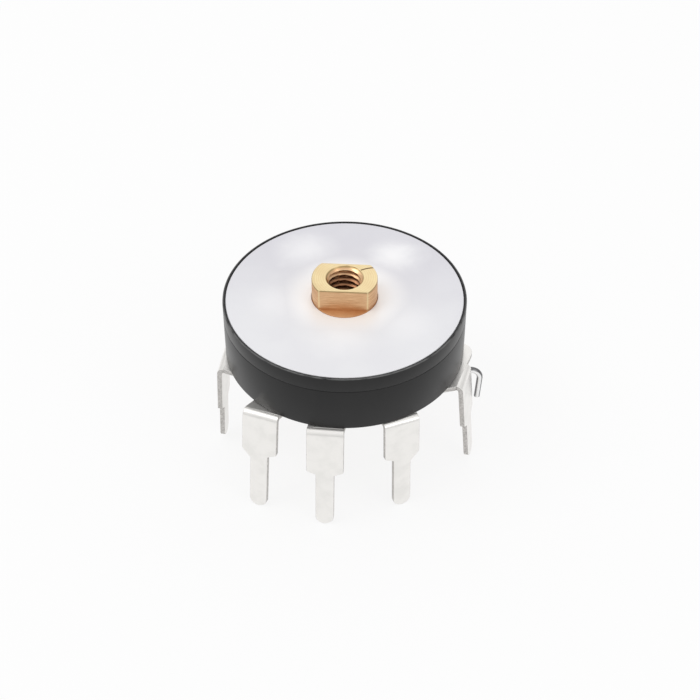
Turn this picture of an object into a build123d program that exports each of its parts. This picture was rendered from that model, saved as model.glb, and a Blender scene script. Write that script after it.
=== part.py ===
"""Switched rotary potentiometer: a thin 16 mm carbon control with five solder legs and a tapped brass boss.

Units are millimetres. The origin is where the shaft's axis crosses the circuit board, which is the plane
of the legs' shoulders; +Z runs up the shaft. Azimuths are degrees from -Y, positive towards +X, so that
they grow anticlockwise seen from above. Heights named *_z are above the underside of the case.
"""
from build123d import *
import os
from math import atan2, cos, degrees, hypot, radians, sin, sqrt, tan

# --- overall sizes --------------------------------------------------------------------------------
body_radius = 16.0 / 2        # case
body_height = 4.3             # case, underside to rim
stand_height = 3.1            # board to the underside of the case
cap_height = 1.1              # visible wall of the upper moulding

# --- lower moulding and wafer ---------------------------------------------------------------------
case_wall = 0.8               # ring wall above the wafer
pocket_wall = 0.47            # ring wall round the wafer
wafer_thickness = 0.8
wafer_fit = 0.03              # wafer in its pocket
track_height = 0.05           # printed carbon, proud of the wafer
track_margin = 1.85           # carbon to the inside of the ring wall
track_width = 1.05
track_half_gap = 26.0         # degrees each side of the middle leg with no carbon
track_pad_width = 1.3
track_pad_overlap = 0.3       # pad into the carbon and into the eyelet's land
seam_chamfer = 0.04

# --- upper moulding and cover plate ---------------------------------------------------------------
web_thickness = 0.7
plate_thickness = 0.28
plate_recess = 0.30
rim_width = 0.2
plate_fit = 0.03
spigot_depth = 0.3
spigot_width = 0.6
spigot_fit = 0.03
stop_half_angle = 15.0
stop_width = 1.4
stop_lug_inset = 0.1          # lug inside the stop's own width
rim_fillet = 0.06

# --- shaft ----------------------------------------------------------------------------------------
shaft_radius = 2.15
flat_width = 2.85             # across the two flats
boss_height = 1.55            # boss above the cover plate
boss_chamfer = 0.06
bearing_fit = 0.05            # radial, journal in the web
plate_hole_fit = 0.1
thread_drill_radius = 1.025   # M2.5 x 0.45 tapping size
thread_mouth_radius = 1.2
thread_depth = 4.0
flange_step = 0.75            # flange beyond the journal
flange_thickness = 0.25
tail_step = 0.025             # tail inside the flats
tail_fit = 0.05
neck_step = 0.3               # neck inside the tail
head_step = 0.4               # headed-over end beyond the neck
head_thickness = 0.22
retainer_step = 1.0           # washer beyond the tail
retainer_thickness = 0.32
retainer_fillet = 0.12
running_gap = 0.06            # end float below the wafer
rest_turn = 3.5               # boss, from the middle of its travel
travel_half_angle = 150.0

# --- rotor and wiper ------------------------------------------------------------------------------
rotor_margin = 1.4            # rim to the inside of the ring wall
rotor_thickness = 0.9
drive_fit = 0.02
lug_height = 0.4
lug_clearance = 0.5           # degrees between lug and stop at the end of travel
dog_reach = 0.25              # switch dog, beyond the rotor's rim
dog_half_angle = 5.0
dog_root = 1.0                # switch dog, inside the rotor's rim
wiper_thickness = 0.12
wiper_ring_step = 0.9         # ring beyond the shaft
wiper_ring_bore = 1.8
finger_width = 0.22
finger_run = 1.7
finger_lead = 0.3             # turned-up toe
finger_toe_rise = 0.1
finger_toe_bend = 0.01        # middle of the metal at the bend, above the toe's
finger_lift = 0.03            # toe above what it sweeps
finger_pitch = 0.33
finger_inset = 0.19           # outermost toe inside the carbon's edge
ring_finger_inset = 0.38      # outermost toe inside the ring's edge
track_finger_count = 3
ring_finger_count = 2
finger_offset = 20.0          # tongue ahead of the toes, degrees
tongue_half_width = 0.5
stake_radius = 0.3
stake_step = 0.37             # stakes beyond the shaft
stake_azimuths = (30.0, 120.0, 290.0)

# --- washers --------------------------------------------------------------------------------------
washer_step = 1.25            # washers beyond the journal
washer_bore_fit = 0.08
fibre_thickness = 0.15
spring_thickness = 0.12
spring_crown = 0.08
stack_gap = 0.02

# --- collector ring and eyelets -------------------------------------------------------------------
ring_thickness = 0.15
ring_step = 0.45              # ring's bore beyond the journal
ring_width = 1.1
tab_width = 1.4
eyelet_margin = 1.0           # eyelets to the inside of the ring wall
eyelet_shank_radius = 0.5
eyelet_bore_radius = 0.3
eyelet_head_radius = 0.7
eyelet_head_thickness = 0.2
eyelet_fit = 0.02

# --- legs -----------------------------------------------------------------------------------------
leg_thickness = 0.35
leg_width = 2.4
pin_width = 1.2
leg_length = 7.5              # below the underside of the case
side_leg_length = 7.1         # legs 1 and 5
bend_radius = 0.3             # middle of the metal
pin_tip_radius = 0.48
shoulder_fillet = 0.12
pad_radius = 1.1
strap_overlap = 0.6
side_strap_tail = 1.9         # outer straps, behind their legs
side_strap_corner = 0.9
side_strap_setback = 0.2      # rear lobes, inside the line of their legs
# azimuth, outer face beyond the wall, way the face looks, lean outwards, eyelet azimuth,
# length of the wide part, slope of the left shoulder, slope of the right shoulder
legs = {
    1: (-74.5, 0.40, -91.5, 2.5, -62.0, 3.68, 0.30, 0.40),
    2: (-31.7, 0.72, -13.5, 8.0, -32.0, 3.00, 0.65, 0.30),
    3: (-1.4, 0.46, 1.5, 8.0, 0.0, 3.05, 0.22, 0.22),
    4: (33.7, 0.26, 28.5, 2.5, 32.0, 3.00, 0.30, 0.70),
    5: (75.9, 0.66, 81.0, 5.0, 62.0, 3.55, 0.40, 0.30),
}
side_legs = {1: -1, 5: 1}      # outer legs, and the side of each on which its strap runs back

# --- switch ---------------------------------------------------------------------------------------
wire_radius = 0.2
wire_heading = 97.0           # way the hook points
wire_leg_gap = 0.12           # wire clear of leg 5's rear edge
post_setback = 1.77           # post, inside leg 5
wire_drop = 0.9               # middle of the wire below the case
wire_stub = 0.12              # post above the arm's eye
wire_elbow_radius = 0.35
hook_reach = 2.82             # from the post to the middle of the drop
hook_radius = 0.66
hook_end_depth = 3.35
hook_draw_in = 0.14           # end of the hook, back towards the case
wire_fit = 0.02
arm_lift = 0.2                # arm above the wafer
arm_thickness = 0.2
arm_step = 0.03               # inside of the arm beyond the post's middle
arm_start_turn = 1.6          # degrees past the post
arm_end_azimuth = 149.0
eye_wall = 0.2
eye_fit = 0.03
eye_height = 0.6
nose_azimuth = 118.0
nose_half_angle = 3.5
nose_tip_half_angle = 0.8
nose_root = 0.05              # nose into the arm
nose_height = 0.55
nose_lift = 0.01              # nose above the underside of the rotor
nose_fit = 0.07               # nose clear of the dog
bus_thickness = 0.15
bus_height = 0.6
bus_margin = 0.35             # strip to the inside of the ring wall
bus_setback = 8.0             # degrees from the eyelet to the upright strip
bus_foot_width = 0.95
bus_turn_azimuth = 166.0
bus_turn_leads = (0.5, 1.2)   # strip's corners past its turn inwards, outer then inner
finger_turn_lags = (3.8, 4.6) # finger's corners short of the turn, inner then outer
finger_start_lag = 4.0
contact_azimuth = 146.0
finger_overrun = 3.0          # finger past the contact, degrees
contact_radius = 0.26
contact_thickness = 0.09
contact_gap = 0.04            # closed contacts, face to face

# --- radii that follow ----------------------------------------------------------------------------
case_inner_radius = body_radius - case_wall
wafer_radius = body_radius - pocket_wall - wafer_fit
track_outer_radius = case_inner_radius - track_margin
track_inner_radius = track_outer_radius - track_width
rotor_radius = case_inner_radius - rotor_margin
stop_outer_radius = rotor_radius
stop_inner_radius = stop_outer_radius - stop_width
dog_radius = rotor_radius + dog_reach
flange_radius = shaft_radius + flange_step
tail_radius = flat_width / 2 - tail_step
neck_radius = tail_radius - neck_step
head_radius = neck_radius + head_step
retainer_radius = tail_radius + retainer_step
wiper_ring_radius = shaft_radius + wiper_ring_step
stake_circle = shaft_radius + stake_step
washer_outer_radius = shaft_radius + washer_step
ring_inner_radius = shaft_radius + ring_step
ring_outer_radius = ring_inner_radius + ring_width
eyelet_circle = case_inner_radius - eyelet_margin
bus_outer_radius = case_inner_radius - bus_margin
bus_inner_radius = bus_outer_radius - bus_thickness
track_fingers = [track_outer_radius - finger_inset - finger_pitch * i for i in range(track_finger_count)]
ring_fingers = [ring_outer_radius - ring_finger_inset - finger_pitch * i for i in range(ring_finger_count)]

# --- heights that follow --------------------------------------------------------------------------
case_base = stand_height
seam_z = body_height - cap_height
recess_z = body_height - plate_recess
web_z = recess_z - web_thickness
plate_top_z = recess_z + plate_thickness
boss_top_z = plate_top_z + boss_height
track_top_z = wafer_thickness + track_height
ring_top_z = wafer_thickness + ring_thickness
fibre_z = web_z - stack_gap - spring_thickness - spring_crown - stack_gap - fibre_thickness
flange_z = fibre_z - stack_gap - flange_thickness
rotor_z = flange_z - rotor_thickness
wiper_z = rotor_z - wiper_thickness
retainer_z = -running_gap - retainer_thickness
arm_base_z = wafer_thickness + arm_lift
nose_z = rotor_z + nose_lift
arm_height = nose_z + nose_height - arm_base_z
wire_top_z = arm_base_z + eye_height + wire_stub
dog_rest_azimuth = nose_azimuth - (travel_half_angle - rest_turn)
lug_half_angle = 180.0 - travel_half_angle - stop_half_angle - lug_clearance
wiper_rest_azimuth = 180.0 + rest_turn


def polar(radius, azimuth):
    """Point at a radius and azimuth, as (x, y)."""
    return (radius * sin(radians(azimuth)), -radius * cos(radians(azimuth)))


def level(height):
    """Horizontal plane at a height above the underside of the case."""
    return Plane.XY.offset(case_base + height)


def outward_plane(azimuth, origin):
    """Plane at an origin, whose x runs outwards along the azimuth and whose y runs up."""
    out = (sin(radians(azimuth)), -cos(radians(azimuth)), 0)
    side = (-cos(radians(azimuth)), -sin(radians(azimuth)), 0)
    return Plane(origin=origin, x_dir=out, z_dir=side)


def sector(inner, outer, middle, half_angle, mode=Mode.ADD):
    """Ring sector in the current sketch, between two radii, about an azimuth."""
    with BuildLine() as outline:
        far = CenterArc((0, 0), outer, middle - half_angle - 90, 2 * half_angle)
        near = CenterArc((0, 0), inner, middle - half_angle - 90, 2 * half_angle)
        Line(far @ 0, near @ 0)
        Line(far @ 1, near @ 1)
    make_face(outline.line.edges(), mode=mode)


def double_d(radius, across):
    """Round section with two flats, in the current sketch."""
    Circle(radius)
    Rectangle(2 * radius, across, mode=Mode.INTERSECT)


os.makedirs("parts", exist_ok=True)


def keep(builder, name):
    """Label a finished piece and write its STEP file."""
    builder.part.label = name
    export_step(builder.part, f"parts/{name}.step")


# --- post of the switch wire: its line runs clear of leg 5's rear inner edge ------------------------
leg_azimuth, leg_stand_off, leg_facing = legs[5][:3]
face_x, face_y = polar(body_radius + leg_stand_off, leg_azimuth)
edge_x = face_x + cos(radians(leg_facing)) * leg_width / 2 - sin(radians(leg_facing)) * leg_thickness
edge_y = face_y + sin(radians(leg_facing)) * leg_width / 2 + cos(radians(leg_facing)) * leg_thickness
aside_x = cos(radians(wire_heading)) * (wire_radius + wire_leg_gap)
aside_y = sin(radians(wire_heading)) * (wire_radius + wire_leg_gap)
back_x, back_y = polar(post_setback, wire_heading)
post_point = (edge_x + aside_x - back_x, edge_y + aside_y - back_y)
wire_circle = hypot(*post_point)
wire_azimuth = degrees(atan2(post_point[0], -post_point[1]))
arm_inner_radius = wire_circle + arm_step
arm_outer_radius = arm_inner_radius + arm_thickness
arm_start_azimuth = wire_azimuth + arm_start_turn
bus_finger_outer_radius = arm_inner_radius - 2 * contact_thickness - contact_gap

# --- lower case: a moulded ring with a pocket for the wafer -----------------------------------------
with BuildPart() as lower_case:
    with BuildSketch(level(0)):
        Circle(body_radius)
        Circle(wafer_radius + wafer_fit, mode=Mode.SUBTRACT)
    extrude(amount=wafer_thickness)
    with BuildSketch(level(wafer_thickness)):
        Circle(body_radius)
        Circle(case_inner_radius, mode=Mode.SUBTRACT)
    extrude(amount=seam_z - wafer_thickness)
    outer_top = lower_case.faces().sort_by(Axis.Z)[-1].edges().sort_by(SortBy.LENGTH)[-1]
    chamfer(outer_top, seam_chamfer)
keep(lower_case, "lower_case")

# --- upper case: rim, web with the bearing, locating spigot and travel stop -------------------------
with BuildPart() as upper_case:
    with BuildSketch(level(seam_z)):
        Circle(body_radius)
    extrude(amount=cap_height)
    with BuildSketch(level(seam_z)):
        Circle(case_inner_radius - spigot_fit)
    extrude(amount=web_z - seam_z)
    with BuildSketch(level(seam_z - spigot_depth)):
        Circle(case_inner_radius - spigot_fit)
    extrude(amount=spigot_depth)
    with BuildSketch(level(seam_z - spigot_depth)):
        Circle(case_inner_radius - spigot_fit - spigot_width)
    extrude(amount=web_z - seam_z + spigot_depth, mode=Mode.SUBTRACT)
    with BuildSketch(level(recess_z)):
        Circle(body_radius - rim_width)
    extrude(amount=plate_recess, mode=Mode.SUBTRACT)
    with BuildSketch(level(seam_z - spigot_depth)):
        sector(stop_inner_radius, stop_outer_radius, 0, stop_half_angle)
    extrude(amount=web_z - seam_z + spigot_depth)
    with BuildSketch(level(web_z)):
        Circle(shaft_radius + bearing_fit)
    extrude(amount=web_thickness, mode=Mode.SUBTRACT)
    outer_rim = upper_case.faces().sort_by(Axis.Z)[-1].edges().sort_by(SortBy.LENGTH)[-1]
    fillet(outer_rim, rim_fillet)
keep(upper_case, "upper_case")

# --- cover plate: a plain metal disc set into the rim ------------------------------------------------
with BuildPart() as cover_plate:
    with BuildSketch(level(recess_z)):
        Circle(body_radius - rim_width - plate_fit)
        Circle(shaft_radius + plate_hole_fit, mode=Mode.SUBTRACT)
    extrude(amount=plate_thickness)
keep(cover_plate, "cover_plate")

# --- resistor wafer: phenolic disc with the printed carbon horseshoe and its two pads ----------------
eyelet_points = {number: polar(eyelet_circle, leg[4]) for number, leg in legs.items()}
with BuildPart() as resistor_wafer:
    with BuildSketch(level(0)):
        Circle(wafer_radius)
    extrude(amount=wafer_thickness)
    with BuildSketch(level(wafer_thickness)):
        sector(track_inner_radius, track_outer_radius, 180, 180 - track_half_gap)
        for number in (2, 4):
            pad_azimuth = legs[number][4]
            pad_middle = (track_outer_radius + eyelet_circle) / 2
            with Locations(Location((*polar(pad_middle, pad_azimuth), 0), (0, 0, pad_azimuth - 90))):
                Rectangle(eyelet_circle - track_outer_radius + 2 * track_pad_overlap, track_pad_width)
            with Locations(eyelet_points[number]):
                Circle(eyelet_head_radius)
    extrude(amount=track_height)
    with Locations(level(0)):
        with Locations(*eyelet_points.values()):
            Hole(eyelet_shank_radius + eyelet_fit)
        Hole(tail_radius + tail_fit)
        with Locations(post_point):
            Hole(wire_radius + wire_fit)
keep(resistor_wafer, "resistor_wafer")

# --- collector ring: flat ring round the shaft with a tab out to the middle leg ----------------------
with BuildPart() as collector_ring:
    with BuildSketch(level(wafer_thickness)):
        Circle(ring_outer_radius)
        with Locations((0, -eyelet_circle / 2)):
            Rectangle(tab_width, eyelet_circle)
        with Locations(eyelet_points[3]):
            Circle(tab_width / 2)
        Circle(ring_inner_radius, mode=Mode.SUBTRACT)
        with Locations(eyelet_points[3]):
            Circle(eyelet_shank_radius + eyelet_fit, mode=Mode.SUBTRACT)
    extrude(amount=ring_thickness)
keep(collector_ring, "collector_ring")

# --- legs: stamped tinned strip, riveted under the wafer and bent down past the wall ------------------
strap_z = -leg_thickness
for number, leg in legs.items():
    azimuth, stand_off, facing, lean, _, wide_length, left_slope, right_slope = leg
    out = (sin(radians(facing)), -cos(radians(facing)))
    across = (cos(radians(facing)), sin(radians(facing)))
    face_x, face_y = polar(body_radius + stand_off, azimuth)
    corner_x = face_x - out[0] * leg_thickness / 2
    corner_y = face_y - out[1] * leg_thickness / 2
    side = outward_plane(facing, (corner_x, corner_y, case_base + strap_z / 2))
    front = Plane(origin=side.origin, x_dir=(*across, 0), z_dir=(*out, 0))
    length = side_leg_length if number in side_legs else leg_length
    drop = length + strap_z / 2
    wide_drop = wide_length + strap_z / 2
    with BuildPart() as terminal:
        with BuildSketch(side):
            with BuildLine():
                FilletPolyline(
                    (-strap_overlap - bend_radius, 0),
                    (0, 0),
                    (drop * tan(radians(lean)), -drop),
                    radius=bend_radius,
                )
            trace(line_width=leg_thickness)
        extrude(amount=leg_width / 2, both=True)
        with BuildSketch(front):
            with BuildLine():
                Polyline(
                    (-leg_width / 2, leg_thickness),
                    (-leg_width / 2, -wide_drop),
                    (-pin_width / 2, -wide_drop - left_slope),
                    (-pin_width / 2, -drop),
                    (pin_width / 2, -drop),
                    (pin_width / 2, -wide_drop - right_slope),
                    (leg_width / 2, -wide_drop),
                    (leg_width / 2, leg_thickness),
                    close=True,
                )
            outline = make_face()
            corners = outline.vertices().group_by(Axis.Y)
            fillet(corners[0], pin_tip_radius)
            fillet(outline.vertices().group_by(Axis.X)[0].sort_by(Axis.Y)[0], shoulder_fillet)
            fillet(outline.vertices().group_by(Axis.X)[-1].sort_by(Axis.Y)[0], shoulder_fillet)
        extrude(amount=2 * leg_width, both=True, mode=Mode.INTERSECT)
        with BuildSketch(level(strap_z)):
            inset = bend_radius + strap_overlap / 2
            strap_middle = (corner_x - out[0] * inset, corner_y - out[1] * inset)
            with Locations(Location((*strap_middle, 0), (0, 0, facing))):
                Rectangle(leg_width, strap_overlap)
            with Locations(eyelet_points[number]):
                Circle(pad_radius)
            if number in side_legs:
                rear = side_legs[number]
                reach = leg_width / 2 + side_strap_tail - side_strap_corner
                inward = side_strap_corner - leg_thickness / 2 + side_strap_setback
                tail_x = corner_x + rear * across[0] * reach - out[0] * inward
                tail_y = corner_y + rear * across[1] * reach - out[1] * inward
                with Locations((tail_x, tail_y)):
                    Circle(side_strap_corner)
            make_hull()
        extrude(amount=leg_thickness)
        with Locations(level(strap_z)):
            with Locations(eyelet_points[number]):
                Hole(eyelet_shank_radius + eyelet_fit)
            if number == 5:
                with Locations(post_point):
                    Hole(wire_radius + wire_fit)
    keep(terminal, f"terminal_{number}")

# --- eyelets: hollow rivets through leg and wafer, closed over what each one clamps -------------------
clamped = {1: bus_thickness, 2: track_height, 3: ring_thickness, 4: track_height, 5: 0.0}
with BuildPart() as terminal_eyelets:
    for number, point in eyelet_points.items():
        shank_top_z = wafer_thickness + clamped[number]
        with BuildSketch(level(strap_z - eyelet_head_thickness)):
            with Locations(point):
                Circle(eyelet_head_radius)
        extrude(amount=eyelet_head_thickness)
        with BuildSketch(level(strap_z)):
            with Locations(point):
                Circle(eyelet_shank_radius)
        extrude(amount=shank_top_z - strap_z)
        with BuildSketch(level(shank_top_z)):
            with Locations(point):
                Circle(eyelet_head_radius)
        extrude(amount=eyelet_head_thickness)
    head_rims = terminal_eyelets.edges().filter_by(GeomType.CIRCLE)
    head_rims = head_rims.filter_by(lambda rim: rim.radius > eyelet_shank_radius + eyelet_fit)
    lower_rims = [rim for rim in head_rims if rim.center().Z < case_base + strap_z - eyelet_fit]
    fillet(lower_rims, eyelet_head_thickness / 2)
    for number, point in eyelet_points.items():
        with BuildSketch(level(strap_z - eyelet_head_thickness)):
            with Locations(point):
                Circle(eyelet_bore_radius)
        extrude(amount=body_height - cap_height, mode=Mode.SUBTRACT)
keep(terminal_eyelets, "terminal_eyelets")

# --- shaft: tapped double-D boss, journal, flange, double-D drive, tail and headed-over end -----------
shaft_turn = Plane.XY.rotated((0, 0, rest_turn))
with BuildPart() as shaft:
    with BuildSketch(shaft_turn.offset(case_base + plate_top_z)):
        double_d(shaft_radius, flat_width)
    extrude(amount=boss_height)
    boss_top = shaft.faces().sort_by(Axis.Z)[-1]
    chamfer(boss_top.edges(), boss_chamfer)
    with BuildSketch(level(flange_z + flange_thickness)):
        Circle(shaft_radius)
    extrude(amount=plate_top_z - flange_z - flange_thickness)
    with BuildSketch(level(flange_z)):
        Circle(flange_radius)
    extrude(amount=flange_thickness)
    with BuildSketch(shaft_turn.offset(case_base + wiper_z)):
        double_d(shaft_radius, flat_width)
    extrude(amount=flange_z - wiper_z)
    with BuildSketch(level(-running_gap)):
        Circle(tail_radius)
    extrude(amount=wiper_z + running_gap)
    with BuildSketch(level(retainer_z)):
        Circle(neck_radius)
    extrude(amount=retainer_thickness)
    with BuildSketch(level(retainer_z - head_thickness)):
        Circle(head_radius)
    extrude(amount=head_thickness)
    fillet(shaft.faces().sort_by(Axis.Z)[0].edges(), head_thickness / 2)
    with BuildSketch(level(boss_top_z - thread_depth)):
        Circle(thread_drill_radius)
    extrude(amount=thread_depth, mode=Mode.SUBTRACT)
    mouth = shaft.faces().sort_by(Axis.Z)[-1].edges().filter_by(GeomType.CIRCLE).sort_by(SortBy.RADIUS)[0]
    chamfer(mouth, thread_mouth_radius - thread_drill_radius)
keep(shaft, "shaft")

# --- rotor: moulded disc driven by the shaft, with a stop lug on top and a switch dog at its rim ------
with BuildPart() as rotor:
    with BuildSketch(level(rotor_z)):
        Circle(rotor_radius)
        sector(rotor_radius - dog_root, dog_radius, dog_rest_azimuth, dog_half_angle)
    extrude(amount=rotor_thickness)
    with BuildSketch(level(rotor_z + rotor_thickness)):
        sector(stop_inner_radius + stop_lug_inset, stop_outer_radius - stop_lug_inset,
               wiper_rest_azimuth, lug_half_angle)
    extrude(amount=lug_height)
    with BuildSketch(level(wiper_z - wiper_thickness)):
        for azimuth in stake_azimuths:
            with Locations(polar(stake_circle, azimuth + rest_turn)):
                Circle(stake_radius)
    extrude(amount=2 * wiper_thickness)
    with BuildSketch(shaft_turn.offset(case_base + rotor_z)):
        double_d(shaft_radius + drive_fit, flat_width + 2 * drive_fit)
    extrude(amount=rotor_thickness, mode=Mode.SUBTRACT)
keep(rotor, "rotor")

# --- wiper: spring-bronze ring staked under the rotor, with fingers on the carbon and on the ring ------
tongue_azimuth = wiper_rest_azimuth + finger_offset
with BuildPart() as wiper:
    with BuildSketch(level(wiper_z)):
        Circle(wiper_ring_radius)
        tongue_length = max(track_fingers) + finger_width / 2
        with Locations(Location((*polar(tongue_length / 2, tongue_azimuth), 0), (0, 0, tongue_azimuth - 90))):
            Rectangle(tongue_length, 2 * tongue_half_width)
        Circle(wiper_ring_bore, mode=Mode.SUBTRACT)
        Rectangle(2 * shaft_radius + 2 * stack_gap, flat_width + 2 * stack_gap, rotation=rest_turn,
                  mode=Mode.SUBTRACT)
        for azimuth in stake_azimuths:
            with Locations(polar(stake_circle, azimuth + rest_turn)):
                Circle(stake_radius + stack_gap, mode=Mode.SUBTRACT)
    extrude(amount=wiper_thickness)
    for radius in track_fingers + ring_fingers:
        swept_z = track_top_z if radius in track_fingers else ring_top_z
        toe_z = swept_z + finger_lift + wiper_thickness / 2
        root = polar(sqrt(radius**2 - finger_run**2), tongue_azimuth)
        back = (-cos(radians(tongue_azimuth)), -sin(radians(tongue_azimuth)), 0)
        radial = (sin(radians(tongue_azimuth)), -cos(radians(tongue_azimuth)), 0)
        finger_plane = Plane(origin=(*root, case_base), x_dir=back, z_dir=tuple(-c for c in radial))
        with BuildSketch(finger_plane):
            with BuildLine():
                Polyline(
                    (0, wiper_z + wiper_thickness / 2),
                    (tongue_half_width, wiper_z + wiper_thickness / 2),
                    (finger_run, toe_z + finger_toe_bend),
                    (finger_run + finger_lead, toe_z + finger_toe_rise),
                )
            trace(line_width=wiper_thickness)
        extrude(amount=finger_width / 2, both=True)
keep(wiper, "wiper")

# --- washers --------------------------------------------------------------------------------------
with BuildPart() as fibre_washer:
    with BuildSketch(level(fibre_z)):
        Circle(washer_outer_radius)
        Circle(shaft_radius + washer_bore_fit, mode=Mode.SUBTRACT)
    extrude(amount=fibre_thickness)
keep(fibre_washer, "fibre_washer")

spring_z = fibre_z + fibre_thickness + stack_gap
with BuildPart() as spring_washer:
    with BuildSketch(Plane.XZ):
        with BuildLine():
            ThreePointArc(
                (-body_radius / 2, case_base + spring_z + spring_thickness / 2),
                (0, case_base + spring_z + spring_thickness / 2 + spring_crown),
                (body_radius / 2, case_base + spring_z + spring_thickness / 2),
            )
        trace(line_width=spring_thickness)
    extrude(amount=body_radius / 2, both=True)
    with BuildSketch(level(0)):
        Circle(washer_outer_radius)
        Circle(shaft_radius + washer_bore_fit, mode=Mode.SUBTRACT)
    extrude(amount=body_height, mode=Mode.INTERSECT)
keep(spring_washer, "spring_washer")

with BuildPart() as retaining_washer:
    with BuildSketch(level(retainer_z)):
        Circle(retainer_radius)
        Circle(neck_radius + stack_gap, mode=Mode.SUBTRACT)
    extrude(amount=retainer_thickness)
    lower_rim = retaining_washer.faces().sort_by(Axis.Z)[0].edges().sort_by(SortBy.RADIUS)[-1]
    fillet(lower_rim, retainer_fillet)
keep(retaining_washer, "retaining_washer")

# --- switch wire: the arm's pivot post, bent out under the strap and hooked down beside leg 5 ---------
hook_plane = outward_plane(wire_heading, (*post_point, case_base))
with BuildPart() as switch_wire:
    with BuildLine(hook_plane) as wire_path:
        FilletPolyline(
            (0, wire_top_z),
            (0, -wire_drop),
            (hook_reach, -wire_drop),
            (hook_reach - hook_draw_in, -hook_end_depth),
            radius=(wire_elbow_radius, hook_radius),
        )
    with BuildSketch(level(wire_top_z)):
        with Locations(post_point):
            Circle(wire_radius)
    sweep(path=wire_path.line)
keep(switch_wire, "switch_wire")

# --- switch arm: strip on edge with a rolled eye round the post and a nose for the dog -----------------
eye_bore = wire_radius + eye_fit
arm_middle = (arm_start_azimuth + arm_end_azimuth) / 2
arm_half = (arm_end_azimuth - arm_start_azimuth) / 2
with BuildPart() as switch_arm:
    with BuildSketch(level(arm_base_z)):
        sector(arm_inner_radius, arm_outer_radius, arm_middle, arm_half)
    extrude(amount=arm_height)
    with BuildSketch(level(arm_base_z)):
        with Locations(post_point):
            Circle(eye_bore + eye_wall)
    extrude(amount=eye_height)
    with BuildSketch(level(nose_z)):
        with BuildLine():
            Polyline(
                polar(arm_inner_radius + nose_root, nose_azimuth - nose_half_angle),
                polar(dog_radius + nose_fit, nose_azimuth - nose_tip_half_angle),
                polar(dog_radius + nose_fit, nose_azimuth + nose_tip_half_angle),
                polar(arm_inner_radius + nose_root, nose_azimuth + nose_half_angle),
                close=True,
            )
        make_face()
    extrude(amount=nose_height)
    with BuildSketch(level(arm_base_z)):
        with Locations(post_point):
            Circle(eye_bore)
    extrude(amount=arm_height, mode=Mode.SUBTRACT)
keep(switch_arm, "switch_arm")

contact_z = arm_base_z + bus_height / 2
arm_contact_plane = Plane(
    origin=(*polar(arm_inner_radius, contact_azimuth), case_base + contact_z),
    z_dir=tuple(-c for c in (*polar(1, contact_azimuth), 0)),
)
with BuildPart() as arm_contact:
    with BuildSketch(arm_contact_plane):
        Circle(contact_radius)
    extrude(amount=contact_thickness)
keep(arm_contact, "arm_contact")

# --- switch bus: strip from leg 1 round the back of the case to the fixed contact ---------------------
bus_start_azimuth = legs[1][4] + 360.0 - bus_setback
bus_sweep_middle = (bus_start_azimuth + bus_turn_azimuth) / 2
bus_sweep_half = (bus_start_azimuth - bus_turn_azimuth) / 2
finger_start_azimuth = bus_turn_azimuth - finger_start_lag
finger_end_azimuth = contact_azimuth - finger_overrun
with BuildPart() as switch_bus:
    with BuildSketch(level(arm_base_z)):
        sector(bus_inner_radius, bus_outer_radius, bus_sweep_middle, bus_sweep_half)
        with BuildLine():
            Polyline(
                polar(bus_outer_radius, bus_turn_azimuth + bus_turn_leads[0]),
                polar(bus_inner_radius, bus_turn_azimuth + bus_turn_leads[1]),
                polar(bus_finger_outer_radius - bus_thickness, bus_turn_azimuth - finger_turn_lags[0]),
                polar(bus_finger_outer_radius, bus_turn_azimuth - finger_turn_lags[1]),
                close=True,
            )
        make_face()
        sector(
            bus_finger_outer_radius - bus_thickness,
            bus_finger_outer_radius,
            (finger_start_azimuth + finger_end_azimuth) / 2,
            (finger_start_azimuth - finger_end_azimuth) / 2,
        )
    extrude(amount=bus_height)
    with BuildSketch(level(wafer_thickness)):
        sector(bus_outer_radius - bus_foot_width, bus_outer_radius, bus_start_azimuth, bus_setback)
        with Locations(eyelet_points[1]):
            Circle(eyelet_head_radius)
    extrude(amount=bus_thickness)
    with BuildSketch(level(wafer_thickness)):
        sector(bus_inner_radius, bus_outer_radius, bus_start_azimuth - bus_setback / 2, bus_setback / 2)
    extrude(amount=arm_base_z - wafer_thickness + bus_height / 2)
    with BuildSketch(level(wafer_thickness)):
        with Locations(eyelet_points[1]):
            Circle(eyelet_shank_radius + eyelet_fit)
    extrude(amount=bus_height, mode=Mode.SUBTRACT)
keep(switch_bus, "switch_bus")

fixed_contact_plane = Plane(
    origin=(*polar(bus_finger_outer_radius, contact_azimuth), case_base + contact_z),
    z_dir=(*polar(1, contact_azimuth), 0),
)
with BuildPart() as fixed_contact:
    with BuildSketch(fixed_contact_plane):
        Circle(contact_radius)
    extrude(amount=contact_thickness)
keep(fixed_contact, "fixed_contact")
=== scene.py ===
"""Looks of a switched rotary potentiometer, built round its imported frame.

Sizes are in millimetres and become metres in Shell.to_object. Azimuths are degrees from -Y, positive
towards +X. Each sub-assembly is a class that holds its sizes and builds its own meshes.
"""
import logging
import math
from dataclasses import dataclass, field
from enum import Enum
from typing import Any, Callable, Iterable, Optional, Sequence

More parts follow.
